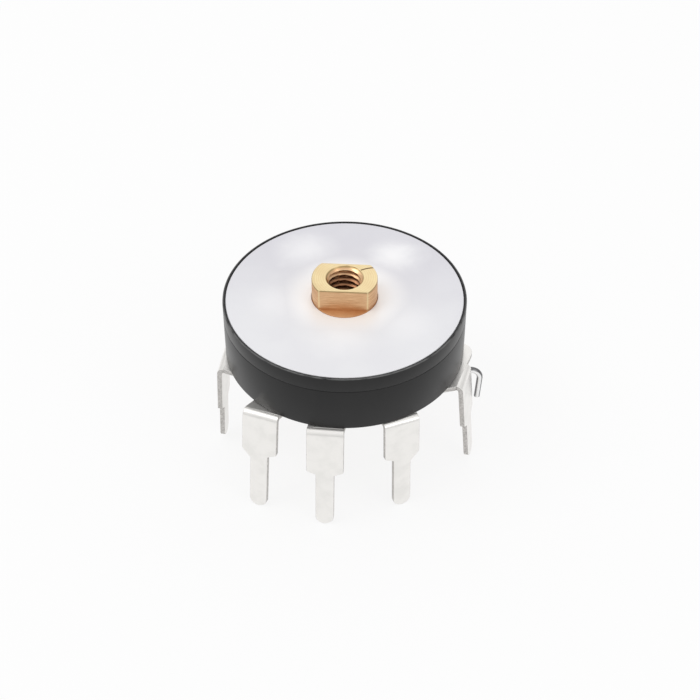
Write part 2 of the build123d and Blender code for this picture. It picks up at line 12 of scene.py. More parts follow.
import bpy
import numpy as np
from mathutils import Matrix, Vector


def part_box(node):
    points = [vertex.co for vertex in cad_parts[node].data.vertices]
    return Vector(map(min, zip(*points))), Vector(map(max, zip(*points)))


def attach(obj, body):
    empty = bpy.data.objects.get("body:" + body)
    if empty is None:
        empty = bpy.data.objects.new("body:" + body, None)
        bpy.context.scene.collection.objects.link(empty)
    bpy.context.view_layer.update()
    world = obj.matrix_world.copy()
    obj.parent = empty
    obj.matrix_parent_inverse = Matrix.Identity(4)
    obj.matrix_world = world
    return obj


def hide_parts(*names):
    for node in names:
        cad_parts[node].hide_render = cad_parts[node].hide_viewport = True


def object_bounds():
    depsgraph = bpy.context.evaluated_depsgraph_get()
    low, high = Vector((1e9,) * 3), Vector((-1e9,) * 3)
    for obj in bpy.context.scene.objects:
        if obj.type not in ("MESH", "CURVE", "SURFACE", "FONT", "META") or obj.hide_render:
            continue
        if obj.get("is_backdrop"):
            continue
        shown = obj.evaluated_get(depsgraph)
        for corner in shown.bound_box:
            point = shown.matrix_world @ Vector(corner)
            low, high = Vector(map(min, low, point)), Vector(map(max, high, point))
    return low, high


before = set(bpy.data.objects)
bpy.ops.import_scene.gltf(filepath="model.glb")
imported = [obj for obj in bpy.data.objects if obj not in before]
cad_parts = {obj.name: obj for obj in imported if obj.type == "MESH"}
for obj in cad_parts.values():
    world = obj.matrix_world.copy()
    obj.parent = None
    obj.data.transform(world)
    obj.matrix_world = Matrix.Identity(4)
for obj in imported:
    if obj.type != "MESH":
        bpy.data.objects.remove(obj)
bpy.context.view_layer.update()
MM = 1e-3
LOG = logging.getLogger("potentiometer")
Array = np.ndarray
Colour = tuple[float, float, float]


# ---------------------------------------------------------------------------------------------------
# Shader expressions
# ---------------------------------------------------------------------------------------------------
def math_method(operation: str, mirrored: bool = False) -> Callable[["Term", Any], "Term"]:
    """A method of Term that adds a Math node on it and one other value, which goes first if mirrored."""

    def method(self: "Term", other: Any) -> "Term":
        """Add the node."""
        return self._math(operation, *((other, self) if mirrored else (self, other)))

    return method


class Term:
    """A node socket that can be used in arithmetic: each operator adds a Math node."""

    def __init__(self, tree: "Tree", socket: bpy.types.NodeSocket) -> None:
        """Wrap a socket of a tree."""
        self.tree = tree
        self.socket = socket

    def _math(self, operation: str, *values: Any) -> "Term":
        """Add a Math node with this operation on the given values."""
        return self.tree.node("ShaderNodeMath", {"operation": operation}, dict(enumerate(values)))

    __add__, __radd__ = math_method("ADD"), math_method("ADD", mirrored=True)
    __sub__, __rsub__ = math_method("SUBTRACT"), math_method("SUBTRACT", mirrored=True)
    __mul__, __rmul__ = math_method("MULTIPLY"), math_method("MULTIPLY", mirrored=True)
    __truediv__, power, larger = (math_method(operation) for operation in ("DIVIDE", "POWER", "MAXIMUM"))

    def sine(self) -> "Term":
        """Sine of this value in radians."""
        return self._math("SINE", self)

    def size(self) -> "Term":
        """Absolute value."""
        return self._math("ABSOLUTE", self)

    def ramp(self, low: float, high: float, at_low: float = 0.0, at_high: float = 1.0) -> "Term":
        """Smooth step of this value from one level to another.

        Args:
            low: value at which the step starts.
            high: value at which it ends.
            at_low: result at and below low.
            at_high: result at and above high.

        Returns:
            The stepped value.
        """
        settings = {"interpolation_type": "SMOOTHSTEP"}
        inputs = {"Value": self, "From Min": low, "From Max": high, "To Min": at_low, "To Max": at_high}
        return self.tree.node("ShaderNodeMapRange", settings, inputs)


class Tree:
    """Node tree of one material or of the world."""

    def __init__(self, nodes: bpy.types.NodeTree) -> None:
        """Empty a tree for building."""
        self.nodes = nodes
        nodes.nodes.clear()

    def node(self, kind: str, settings: Optional[dict] = None, inputs: Optional[dict] = None,
             output: Any = 0) -> Term:
        """Add a node.

        Args:
            kind: the node's type.
            settings: its attributes, set before its sockets; "stops" fills a colour ramp.
            inputs: values, Terms or sockets by socket name or index.
            output: name or index of the output that is returned.

        Returns:
            The chosen output.
        """
        made = self.nodes.nodes.new(kind)
        for name, value in (settings or {}).items():
            if name == "stops":
                self._fill_ramp(made.color_ramp, value)
            else:
                setattr(made, name, value)
        for name, value in (inputs or {}).items():
            target = self._socket(made.inputs, name)
            if isinstance(value, Term):
                self.nodes.links.new(value.socket, target)
            else:
                target.default_value = value
        return Term(self, self._socket(made.outputs, output)) if len(made.outputs) else Term(self, None)

    @staticmethod
    def _socket(sockets: Any, name: Any) -> Any:
        """Socket by index, or the first enabled one by name."""
        if isinstance(name, int):
            return sockets[name]
        return next(s for s in sockets if s.name == name and s.enabled)

    @staticmethod
    def _fill_ramp(ramp: Any, stops: Sequence[tuple[float, Colour]]) -> None:
        """Give a colour ramp its stops."""
        while len(ramp.elements) < len(stops):
            ramp.elements.new(0.5)
        for element, (place, colour) in zip(ramp.elements, stops):
            element.position = place
            element.color = (*colour, 1.0)

    def place(self) -> Term:
        """Object coordinates in metres."""
        return self.node("ShaderNodeTexCoord", output="Object")

    def attribute(self, name: str) -> Term:
        """Value of a mesh attribute."""
        return self.node("ShaderNodeAttribute", {"attribute_name": name}, output="Fac")

    def ray(self, kind: str) -> Term:
        """One on rays of this kind (Camera, Glossy or Transmission), none on others."""
        return self.node("ShaderNodeLightPath", output=f"Is {kind} Ray")

    def axes(self, vector: Term) -> tuple[Term, Term, Term]:
        """The three parts of a vector, in millimetres."""
        made = self.nodes.nodes.new("ShaderNodeSeparateXYZ")
        self.nodes.links.new(vector.socket, made.inputs[0])
        return tuple(Term(self, made.outputs[i]) * (1 / MM) for i in range(3))

    def stretched(self, vector: Term, scale: Sequence[float], turn: float = 0.0) -> Term:
        """A vector scaled on each axis, after a turn about Z in degrees."""
        inputs = {"Vector": vector, "Scale": tuple(scale), "Rotation": (0, 0, math.radians(turn))}
        return self.node("ShaderNodeMapping", {"vector_type": "TEXTURE"}, inputs)

    def noise(self, vector: Term, per_mm: float, detail: float = 2.0, rough: float = 0.5,
              distortion: float = 0.0) -> Term:
        """Noise from 0 to 1 with so many waves a millimetre."""
        inputs = {"Vector": vector, "Scale": per_mm / MM, "Detail": detail, "Roughness": rough,
                  "Distortion": distortion}
        return self.node("ShaderNodeTexNoise", None, inputs)

    def blend(self, share: Any, first: Any, second: Any) -> Term:
        """Mix of two colours by a share."""
        made = self.nodes.nodes.new("ShaderNodeMix")
        made.data_type = "RGBA"
        sockets = [s for s in made.inputs if s.enabled]
        for socket, value in zip(sockets, (share, first, second)):
            if isinstance(value, Term):
                self.nodes.links.new(value.socket, socket)
            else:
                socket.default_value = (*value, 1.0) if isinstance(value, tuple) else value
        return Term(self, next(s for s in made.outputs if s.enabled))

    def bump(self, height: Term, strength: float, depth: float) -> Term:
        """Normal from a height of 0 to 1, over a depth in millimetres."""
        inputs = {"Height": height, "Strength": strength, "Distance": depth * MM}
        return self.node("ShaderNodeBump", None, inputs)

    def shader(self, **inputs: Any) -> Term:
        """Principled shader, with sockets named by words joined by underscores."""
        named = {"IOR": 1.45} | {name.replace("_", " "): value for name, value in inputs.items()}
        if isinstance(named["Base Color"], tuple):
            named["Base Color"] = (*named["Base Color"], 1.0)
        return self.node("ShaderNodeBsdfPrincipled", None, named)

    def finish(self, surface: Term) -> None:
        """Send a shader to the material's output."""
        self.node("ShaderNodeOutputMaterial", None, {"Surface": surface})


@dataclass(frozen=True)
class Finish:
    """Base of every finish: makes its material once and dresses pieces in it."""

    name: str

    def build(self, tree: Tree) -> Term:
        """Build the shader; each finish gives its own."""
        raise NotImplementedError

    def material(self) -> bpy.types.Material:
        """The finish's material, made at its first use."""
        found = bpy.data.materials.get(self.name)
        if found is None:
            found = bpy.data.materials.new(self.name)
            found.use_nodes = True
            tree = Tree(found.node_tree)
            tree.finish(self.build(tree))
        return found

    def dress(self, piece: bpy.types.Object) -> None:
        """Give a piece this finish in place of what it had."""
        piece.data.materials.clear()
        piece.data.materials.append(self.material())


@dataclass(frozen=True)
class MouldedBlack(Finish):
    """Satin black moulding: faint flow marks, a few soft scuffs and a painted highlight along the rim's top
    edge.
    """

    colour: Colour = (0.002, 0.002, 0.0023)
    scuff: Colour = (0.009, 0.0088, 0.0088)
    rim_highlight: Colour = (0.16, 0.16, 0.16)
    roughness: float = 0.32
    rim_height: float = 7.40
    rim_radius: float = 8.0

    def build(self, tree: Tree) -> Term:
        """Build the shader."""
        place = tree.place()
        flow = tree.noise(tree.stretched(place, (1, 1, 3.5)), 0.35, detail=4, rough=0.6)
        grain = tree.noise(place, 14.0, detail=3)
        scuffs_and_highlight = tree.noise(tree.stretched(place, (1, 1, 0.25)), 1.6, detail=5, rough=0.7)
        marks = scuffs_and_highlight.ramp(0.60, 0.78)
        x, y, z = tree.axes(place)
        # Painted highlight: a lighter band along the rim's top outer edge, broken up by the scuff noise.
        at_rim = (x * x + y * y).power(0.5).ramp(self.rim_radius - 0.11, self.rim_radius - 0.04)
        wear_and_sheen = at_rim * z.ramp(self.rim_height - 0.09, self.rim_height - 0.03) * scuffs_and_highlight.ramp(0.30, 0.60)
        colour = tree.blend(flow.ramp(0.35, 0.75, 0.0, 0.5) + marks * 0.35, self.colour, self.scuff)
        colour = tree.blend(wear_and_sheen * 0.7, colour, self.rim_highlight)
        rough = self.roughness + (flow - 0.5) * 0.10 + marks * 0.10 + (grain - 0.5) * 0.06
        normal = tree.bump(grain * 0.7 + flow * 0.3, 0.35, 0.006)
        return tree.shader(Base_Color=colour, Roughness=rough, Normal=normal, IOR=1.40)


@dataclass(frozen=True)
class SatinPlate(Finish):
    """Pale satin disc with painted light: a painted sheen, darker at the rear and clearing to the front, soft
    bright clouds of painted highlight and a painted highlight ring round the boss.
    """

    rear: Colour = (0.672, 0.664, 0.706)
    front: Colour = (0.772, 0.772, 0.794)
    bright: Colour = (0.955, 0.952, 0.956)
    highlight_clouds: tuple[tuple[float, float, float, float], ...] = (
        (-3.2, 4.5, 2.6, 0.50), (2.8, 4.6, 2.3, 0.72), (0.1, -3.4, 3.2, 0.55), (4.3, -2.2, 2.6, 0.30),
        (-4.6, -1.2, 2.4, 0.30),
    )
    highlight_ring_inner: float = 2.4
    highlight_ring_outer: float = 4.5

    def build(self, tree: Tree) -> Term:
        """Build the shader; a cloud of painted highlight is (x, y, radius, strength), its edge broken by
        noise.
        """
        place = tree.place()
        x, y, _ = tree.axes(place)
        radius = (x * x + y * y).power(0.5)
        drift = tree.noise(place, 0.30, detail=3, rough=0.5, distortion=0.3)
        wisps = tree.noise(place, 1.1, detail=4, rough=0.6)
        grain = tree.noise(tree.stretched(place, (9.0, 0.6, 1.0), 12), 5.0, detail=4, rough=0.7)
        # Painted highlight: a bright ring round the boss, then soft clouds of painted highlight on the disc.
        share = radius.ramp(self.highlight_ring_inner, self.highlight_ring_outer, 0.95, 0.0)
        for cloud_x, cloud_y, reach, strength in self.highlight_clouds:
            off = (x - cloud_x) * (x - cloud_x) + (y - cloud_y) * (y - cloud_y)
            off = off.power(0.5) + (drift - 0.5) * 2.4 + (wisps - 0.5) * 0.9
            share = share.larger(off.ramp(0.0, reach, strength, 0.0))
        # Painted sheen: darker towards the rear and lighter towards the front, with a little random tone.
        colour = tree.blend(y.ramp(5.5, -4.0) * 0.8 + drift.ramp(0.35, 0.65) * 0.2, self.rear, self.front)
        colour = tree.blend(share, colour, self.bright)
        rough = 0.46 + (grain - 0.5) * 0.08 - share * 0.06
        normal = tree.bump(grain * 0.5 + drift * 0.5, 0.2, 0.01)
        return tree.shader(Base_Color=colour, Metallic=0.2, Roughness=rough, Normal=normal, IOR=1.45)


@dataclass(frozen=True)
class MachinedBrass(Finish):
    """Free-cutting brass: turned rings on the top, milled lines along the flats, a nick in one corner;
    painted highlights at the ends of the flats and painted shade under the top edge, at the foot and down the
    tapped hole.
    """

    colour: Colour = (0.88, 0.615, 0.365)
    deep: Colour = (0.62, 0.350, 0.180)
    light: Colour = (0.90, 0.765, 0.455)
    turned: Colour = (0.785, 0.600, 0.335)
    top_edge_shade: Colour = (0.33, 0.245, 0.105)
    bore_shade: Colour = (0.255, 0.108, 0.055)
    top: float = 8.93
    foot: float = 7.40
    bore: float = 1.27
    turn: float = 3.5
    flat_half_length: float = 1.61
    nick_start: tuple[float, float] = (0.93, 0.86)
    nick_end: tuple[float, float] = (1.78, 1.24)
    nick_colour: Colour = (0.15, 0.085, 0.035)

    def build(self, tree: Tree) -> Term:
        """Build the shader."""
        place = tree.place()
        x, y, z = tree.axes(place)
        radius = (x * x + y * y).power(0.5)
        waver = tree.noise(place, 1.1, detail=3)
        rings = (radius * 42.0 + waver * 5.0).sine() * 0.5 + 0.5
        wear_and_sheen = tree.noise(place, 0.9, detail=4, rough=0.6)
        milled = tree.noise(tree.stretched(place, (3.0, 3.0, 0.12), self.turn), 2.2, detail=5, rough=0.75)
        speck = tree.noise(place, 9.0, detail=4, rough=0.8)
        on_top = z.ramp(self.top - 0.035, self.top - 0.005)
        in_bore = radius.ramp(self.bore + 0.02, self.bore, 0.0, 1.0)
        shade = 1 - on_top
        side = tree.blend(milled.ramp(0.34, 0.66), self.deep, self.colour)
        # Painted shade: a dark line just under the top edge of the flats.
        side = tree.blend(z.ramp(self.top - 0.12, self.top - 0.07) * 0.75, side, self.top_edge_shade)
        # Painted highlights: bright bands at both ends of each flat.
        side = tree.blend(self._corner_highlights(tree, x, y) * 0.6, side, self.light)
        # Painted shade: the flats darken towards the foot, where the boss meets the plate.
        side = tree.blend(z.ramp(self.foot + 0.20, self.foot - 0.02) * 0.75, side, self.deep)
        face = tree.blend(rings * 0.45 + wear_and_sheen.ramp(0.35, 0.65) * 0.35, self.turned, self.light)
        tone = tree.blend(on_top, side, face)
        tone = tree.blend(speck.ramp(0.60, 0.74) * 0.25, tone, self.deep)
        # Painted shade: the tapped hole darkens with depth.
        tone = tree.blend(z.ramp(self.top - 0.12, self.top - 1.1) * in_bore * 0.88, tone, self.bore_shade)
        tone = tree.blend(self._nick(tree, x, y) * on_top * (1 - in_bore), tone, self.nick_colour)
        rough = 0.26 + (milled.ramp(0.3, 0.7) * 0.12 + 0.16) * shade * (1 - in_bore) + speck * 0.06
        lines = rings * on_top + milled * shade
        normal = tree.bump(lines * 0.8 + speck * 0.2, 0.35, 0.014)
        return tree.shader(Base_Color=tone, Metallic=1.0, Roughness=rough, Normal=normal)

    def _corner_highlights(self, tree: Tree, x: Term, y: Term) -> Term:
        """Mask of the painted highlight bands at both ends of each flat."""
        angle = math.radians(self.turn)
        along = (x * math.cos(angle) + y * math.sin(angle)).size()
        across = (y * math.cos(angle) - x * math.sin(angle)).size()
        end = self.flat_half_length
        band = along.ramp(end - 0.12, end - 0.05) * along.ramp(end + 0.03, end - 0.01)
        return band * across.ramp(1.30, 1.36)

    def _nick(self, tree: Tree, x: Term, y: Term) -> Term:
        """Mask of the nick: one near its bowed line, falling to none within a few hundredths."""
        (ax, ay), (bx, by) = self.nick_start, self.nick_end
        length = math.hypot(bx - ax, by - ay)
        ux, uy = (bx - ax) / length, (by - ay) / length
        along = (x - ax) * ux + (y - ay) * uy
        bow = (along / length * math.pi).sine() * 0.05
        off = ((x - ax) * -uy + (y - ay) * ux - bow).size()
        inside = along.ramp(-0.02, 0.05) * along.ramp(length, length - 0.05)
        return off.ramp(0.03, 0.075, 1.0, 0.0) * inside


@dataclass(frozen=True)
class TinPlate(Finish):
    """Bright tin plate on a stamped strip; the sheared edges are greyer and rougher."""

    colour: Colour = (0.885, 0.868, 0.842)
    cloud: Colour = (0.83, 0.817, 0.79)
    sheared: Colour = (0.40, 0.385, 0.37)
    edge_attribute: str = "sheared"

    def build(self, tree: Tree) -> Term:
        """Build the shader."""
        place = tree.place()
        edge = tree.attribute(self.edge_attribute)
        mottle = tree.noise(place, 0.9, detail=3, rough=0.55)
        fine = tree.noise(tree.stretched(place, (1, 1, 2.2)), 6.0, detail=4, rough=0.7)
        torn = tree.noise(tree.stretched(place, (1, 1, 0.35)), 5.5, detail=5, rough=0.8)
        colour = tree.blend(mottle.ramp(0.40, 0.68), self.colour, self.cloud)
        mask = edge.ramp(0.35, 0.75) * (torn.ramp(0.34, 0.60) * 0.75 + 0.20)
        colour = tree.blend(mask, colour, self.sheared)
        rough = 0.30 + (fine - 0.5) * 0.10 + edge * 0.22
        normal = tree.bump(fine * (1 - edge) * 0.35 + torn * edge, 0.45, 0.02)
        return tree.shader(Base_Color=colour, Metallic=0.85, Roughness=rough, Normal=normal)


@dataclass(frozen=True)
class BrightMetal(Finish):
    """Plain bright metal with a soft draw grain, for wire, washers, springs, contacts and eyelets."""

    colour: Colour
    shade: Colour
    roughness: float = 0.25
    grain_per_mm: float = 4.0

    def build(self, tree: Tree) -> Term:
        """Build the shader."""
        place = tree.place()
        grain = tree.noise(place, self.grain_per_mm, detail=4, rough=0.65)
        stain = tree.noise(place, 0.8, detail=3)
        share = stain.ramp(0.42, 0.70) * 0.6 + grain.ramp(0.45, 0.75) * 0.4
        colour = tree.blend(share, self.colour, self.shade)
        rough = self.roughness + (grain - 0.5) * 0.12
        return tree.shader(Base_Color=colour, Metallic=1.0, Roughness=rough,
                           Normal=tree.bump(grain, 0.25, 0.01))


@dataclass(frozen=True)
class DrawnWire(Finish):
    """Bright drawn wire with a painted highlight down the face of its bends and painted shade on its two
    sides.
    """

    centre_highlight: Colour = (0.86, 0.86, 0.86)
    dark: Colour = (0.17, 0.17, 0.175)
    side_attribute: str = "shaded_side"

    def build(self, tree: Tree) -> Term:
        """Build the shader."""
        place = tree.place()
        side = tree.attribute(self.side_attribute)
        streak = tree.noise(place, 3.0, detail=4, rough=0.7)
        # Painted shade on the wire's two sides and a painted highlight down its face, broken by streaks.
        share = (side + (streak - 0.5) * 0.35).ramp(0.42, 0.68)
        colour = tree.blend(share, self.centre_highlight, self.dark)
        return tree.shader(Base_Color=colour, Metallic=1.0, Roughness=0.22 + (streak - 0.5) * 0.12,
                           Normal=tree.bump(streak, 0.2, 0.008))


@dataclass(frozen=True)
class Laminate(Finish):
    """Pressed sheet or moulding with fine mottling: phenolic wafer, fibre washer and rotor."""

    colour: Colour
    dark: Colour
    roughness: float = 0.5
    weave_per_mm: float = 3.0

    def build(self, tree: Tree) -> Term:
        """Build the shader."""
        place = tree.place()
        mottle = tree.noise(place, self.weave_per_mm, detail=5, rough=0.65)
        wide = tree.noise(place, 0.5, detail=2)
        colour = tree.blend(mottle.ramp(0.35, 0.7) * 0.6 + wide.ramp(0.3, 0.7) * 0.4, self.colour, self.dark)
        rough = self.roughness + (mottle - 0.5) * 0.15
        return tree.shader(Base_Color=colour, Roughness=rough, Normal=tree.bump(mottle, 0.3, 0.012))


class Slot(Enum):
    """Material slot names handed to place_piece with each new piece, which does not use them."""

    CASE = "case"
    PLATE = "plate"
    TINNED = "tinned"
    EYELET = "eyelet"
    WIRE = "wire"
    BRASS = "brass"
    STEEL = "steel"


BLACK = MouldedBlack("satin_black_moulding")
PLATE = SatinPlate("satin_cover_plate")
BRASS = MachinedBrass("machined_brass")
TIN = TinPlate("bright_tin_plate")
WIRE = DrawnWire("bright_spring_wire")
STEEL = BrightMetal("plated_steel", (0.66, 0.66, 0.67), (0.50, 0.50, 0.52), 0.30)
EYELET = BrightMetal("bright_eyelet_brass", (0.82, 0.68, 0.40), (0.66, 0.50, 0.26), 0.28)
SILVER = BrightMetal("silvered_strip", (0.82, 0.81, 0.77), (0.66, 0.64, 0.60), 0.26)
BRONZE = BrightMetal("spring_bronze", (0.76, 0.50, 0.30), (0.58, 0.35, 0.20), 0.30)
PHENOLIC = Laminate("phenolic_wafer", (0.33, 0.17, 0.07), (0.22, 0.105, 0.042), 0.42)
FIBRE = Laminate("vulcanised_fibre", (0.30, 0.12, 0.06), (0.20, 0.08, 0.04), 0.60)
ROTOR = Laminate("rotor_moulding", (0.03, 0.03, 0.03), (0.018, 0.018, 0.018), 0.45)


# ---------------------------------------------------------------------------------------------------
# Surfaces
# ---------------------------------------------------------------------------------------------------
def linked(name: str, data: Any) -> bpy.types.Object:
    """A new object on this data, put in the scene."""
    made = bpy.data.objects.new(name, data)
    bpy.context.scene.collection.objects.link(made)
    return made


@dataclass
class Shell:
    """A closed surface in millimetres: points, quads, triangles and one weight a point."""

    points: Array
    quads: Array
    tris: Array
    weight: Array = field(default_factory=lambda: np.zeros(0))

    def outward(self) -> "Shell":
        """The same shell with its faces turned out, by the sign of its volume.

        The volume is a sixth of the sum, over all triangles, of the triple product of their corners.
        """
        all_tris = np.vstack([self.quads[:, [0, 1, 2]], self.quads[:, [0, 2, 3]], self.tris])
        a, b, c = (self.points[all_tris[:, i]] for i in range(3))
        if np.einsum("ij,ij->i", a, np.cross(b, c)).sum() >= 0:
            return self
        return Shell(self.points, self.quads[:, ::-1], self.tris[:, ::-1], self.weight)

    @staticmethod
    def joined(shells: Iterable["Shell"]) -> "Shell":
        """Several shells as one set of points and faces."""
        shells = list(shells)
        starts = np.cumsum([0] + [len(s.points) for s in shells[:-1]])
        weights = [s.weight if len(s.weight) else np.zeros(len(s.points)) for s in shells]
        return Shell(
            np.vstack([s.points for s in shells]),
            np.vstack([s.quads + at for s, at in zip(shells, starts)]),
            np.vstack([s.tris + at for s, at in zip(shells, starts)]),
            np.concatenate(weights),
        )

    def to_object(self, name: str, attribute: Optional[str] = None, sharp: float = 32.0) -> bpy.types.Object:
        """Make a Blender object in metres, with its place in its mesh.

        Args:
            name: object and mesh name.
            attribute: name under which the weights are kept, if they are wanted.
            sharp: angle in degrees past which an edge is drawn sharp.

        Returns:
            The new object.
        """
        mesh = bpy.data.meshes.new(name)
        mesh.from_pydata((self.points * MM).tolist(), [], self.quads.tolist() + self.tris.tolist())
        mesh.update()
        mesh.shade_smooth()
        mesh.set_sharp_from_angle(angle=math.radians(sharp))
        if attribute:
            layer = mesh.attributes.new(attribute, "FLOAT", "POINT")
            layer.data.foreach_set("value", self.weight.astype(np.float32))
        return linked(name, mesh)


def lattice(rings: Array, loop: bool = False, weight: Optional[Array] = None) -> Shell:
    """Closed rings joined one to the next.

    Args:
        rings: points as (ring, place on the ring, xyz).
        loop: whether the last ring joins the first; if not, each end is closed by a fan to its middle.
        weight: one weight for each point of the rings.

    Returns:
        The shell, with its faces outward.
    """
    rows, columns = rings.shape[:2]
    index = np.arange(rows * columns).reshape(rows, columns)
    beside = np.roll(index, -1, axis=1)
    here = slice(None) if loop else slice(0, -1)
    above, above_beside = np.roll(index, -1, axis=0), np.roll(beside, -1, axis=0)
    quads = np.stack([index, beside, above_beside, above], axis=-1)[here].reshape(-1, 4)
    points = rings.reshape(-1, 3)
    weights = np.zeros(len(points)) if weight is None else weight.reshape(-1)
    tris = np.zeros((0, 3), int)
    if not loop:
        first, last = rows * columns, rows * columns + 1
        points = np.vstack([points, rings[0].mean(0), rings[-1].mean(0)])
        ends = [0.0, 0.0] if weight is None else [weight[0].mean(), weight[-1].mean()]
        weights = np.concatenate([weights, ends])
        start = np.stack([beside[0], index[0], np.full(columns, first)], axis=-1)
        end = np.stack([index[-1], beside[-1], np.full(columns, last)], axis=-1)
        tris = np.vstack([start, end])
    return Shell(points, quads, tris, weights).outward()


def unit(rows: Array) -> Array:
    """Rows scaled to a length of one."""
    return rows / np.linalg.norm(rows, axis=1, keepdims=True)


def rounded(corners: Array, radii: Array, steps: int = 5, closed: bool = True) -> Array:
    """A polyline with an arc at each corner.

    An arc starts and ends at its radius over the tangent of half the corner's angle from the corner; its
    points are a spherical blend of the two radii drawn from its centre.

    Args:
        corners: corner points in a plane, as (corner, xy).
        radii: arc radius at each corner.
        steps: points an arc, less one.
        closed: whether the last corner joins the first; if not, the two ends stay as they are.

    Returns:
        The points of the rounded line.
    """
    to_last, to_next = (unit(np.roll(corners, shift, axis=0) - corners) for shift in (1, -1))
    half = np.arccos(np.clip((to_last * to_next).sum(1), -1, 1)) / 2
    reach = (radii / np.tan(half))[:, None]
    centre = corners + unit(to_last + to_next) * (radii / np.sin(half))[:, None]
    first = corners + to_last * reach - centre
    final = corners + to_next * reach - centre
    swing = (math.pi - 2 * half)[:, None, None]
    share = np.linspace(0, 1, steps + 1)[None, :, None]
    arcs = np.sin((1 - share) * swing) * first[:, None] + np.sin(share * swing) * final[:, None]
    arcs = centre[:, None] + arcs / np.sin(swing)
    if closed:
        return arcs.reshape(-1, 2)
    return np.vstack([corners[:1], arcs[1:-1].reshape(-1, 2), corners[-1:]])


def around(radius: Array, angle: Array, height: Array) -> Array:
    """Points about Z, with angles in radians: x is radius sin a, y is minus radius cos a."""
    return np.stack([radius * np.sin(angle), -radius * np.cos(angle), height + 0 * angle], axis=-1)


def turned(profile: Array, segments: int = 192, loop: bool = True) -> Shell:
    """A profile of (radius, height) turned about Z."""
    angle = np.linspace(0, 2 * math.pi, segments, endpoint=False)
    return lattice(around(profile[:, 0:1], angle, profile[:, 1:2]), loop)


def turned_block(corners: Sequence[tuple[float, float]], rounding: Sequence[float] | float,
                 segments: int = 192) -> Shell:
    """A turned ring whose section is a polygon with rounded corners."""
    radii = np.broadcast_to(np.asarray(rounding, float), (len(corners),))
    return turned(rounded(np.array(corners, float), radii), segments)


def polar(radius: Any, azimuth: Any) -> Array:
    """Point at a radius and an azimuth in degrees."""
    angle = np.radians(azimuth)
    return np.stack([radius * np.sin(angle), -radius * np.cos(angle)], axis=-1)


def sector_block(inner: float, outer: float, azimuths: tuple[float, float], heights: tuple[float, float],
                 rounding: float = 0.04, steps: int = 24) -> Shell:
    """A block between two radii, two azimuths and two heights: its section carried round the axis."""
    section = rounded(np.array([(inner, heights[0]), (outer, heights[0]), (outer, heights[1]),
                                (inner, heights[1])]), np.full(4, rounding), 2)
    angle = np.radians(np.linspace(*azimuths, steps))[:, None]
    return lattice(around(section[None, :, 0], angle, section[None, :, 1]))


def tube(path: Array, across: Array, radius: float, sides: int = 24) -> Shell:
    """A round wire along a path in a plane.

    Each ring is the path's point plus radius times (cosine of the ring's angle along the plane's normal,
    sine of it along the path's own normal). The first and last rings shrink, which breaks the ends' edges.

    Args:
        path: points in space.
        across: the unit normal of the path's plane.
        radius: wire radius.
        sides: points a ring.

    Returns:
        The wire's shell.
    """
    run = unit(np.gradient(path, axis=0))
    broken = radius / 4
    path = np.vstack([path[:1], path[:1] + run[:1] * broken, path[1:-1],
                      path[-1:] - run[-1:] * broken, path[-1:]])
    run = np.vstack([run[:1], run[:1], run[1:-1], run[-1:], run[-1:]])
    size = np.full(len(path), radius)
    size[[0, -1]] = radius - broken
    angle = np.linspace(0, 2 * math.pi, sides, endpoint=False)[None, :, None]
    other = np.cross(run, across)
    ring = np.cos(angle) * across[None, None] + np.sin(angle) * other[:, None]
    # Weight of one on the ring's two sides, which carry the wire's painted shade.
    side = np.repeat(np.abs(np.sin(angle))[..., 0], len(path), axis=0)
    return lattice(path[:, None] + ring * size[:, None, None], weight=side)


def bored_slab(outline: Array, centre: Array, bore: float, low: float, high: float,
               edge: float = 0.03) -> Shell:
    """A flat plate of a convex outline with a round hole.

    Each outline point has its partner on the hole at the same angle about the hole's centre, and the rings
    run from the hole out along the underside, up the broken edge and back along the top.

    Args:
        outline: the outer line, as (point, xy).
        centre: middle of the hole.
        bore: radius of the hole.
        low: height of the underside.
        high: height of the top.
        edge: how far the edges are broken.

    Returns:
        The plate, with a weight of one on its sheared edge.
    """
    away = unit(outline - centre)
    hole, inset = centre + away * bore, outline - away * edge
    rings = [(hole, low, 0), (inset, low, 0), (outline, low + edge, 1), (outline, high - edge, 1),
             (inset, high, 0), (hole, high, 0)]
    stack = np.stack([np.column_stack([ring, np.full(len(ring), height)]) for ring, height, _ in rings])
    weight = np.repeat(np.array([float(sheared) for *_, sheared in rings])[:, None], len(outline), axis=1)
    return lattice(stack, loop=True, weight=weight)


# ---------------------------------------------------------------------------------------------------
# Sub-assemblies
# ---------------------------------------------------------------------------------------------------
@dataclass(frozen=True)
class Heights:
    """Levels read from the frame, in millimetres above the board."""

    case_floor: float
    seam: float
    rim: float
    recess: float
    plate_top: float
    boss_top: float
    track_floor: float

    @classmethod
    def from_frame(cls) -> "Heights":
        """Read the levels from the boxes of the nodes."""
        lower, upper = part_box("lower_case"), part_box("upper_case")
        plate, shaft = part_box("cover_plate"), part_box("shaft")
        return cls(lower[0].z / MM, lower[1].z / MM, upper[1].z / MM, plate[0].z / MM,
                   plate[1].z / MM, shaft[1].z / MM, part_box("collector_ring")[0].z / MM)


def place_piece(piece: bpy.types.Object, finish: Finish, body: str, slot: Slot, *nodes: str) -> None:
    """Dress a new piece, hang it on its body and hide the nodes it stands for."""
    finish.dress(piece)
    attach(piece, body)
    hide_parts(*nodes)
    LOG.info("%s: %d faces, rides on %s", piece.name, len(piece.data.polygons), body)


